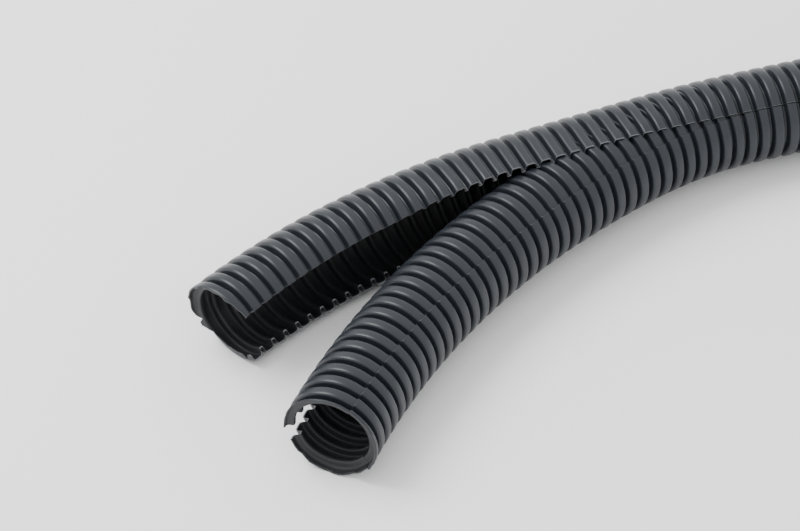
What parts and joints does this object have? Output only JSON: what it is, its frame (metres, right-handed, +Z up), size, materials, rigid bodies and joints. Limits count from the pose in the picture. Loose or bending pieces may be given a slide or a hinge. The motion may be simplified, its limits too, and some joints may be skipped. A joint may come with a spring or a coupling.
{
  "type": "divisible corrugated conduit",
  "caption": "Corrugated cable conduit in two slit shells that clip together rib in rib around cables, peeled apart at one end.",
  "frame": {"origin": "middle of the whole piece in length and width, on the floor it lies on", "axes": "+X along the clipped stock towards its square-cut end; the peeled end bends towards -X and -Y; +Z up"},
  "size_m": [0.9981, 0.1166, 0.0285],
  "materials": {
    "conduit_plastic": "satin"
  },
  "bodies": {
    "root": {"outer_conduit": "conduit_plastic", "inner_conduit": "conduit_plastic"}
  },
  "joints": []
}
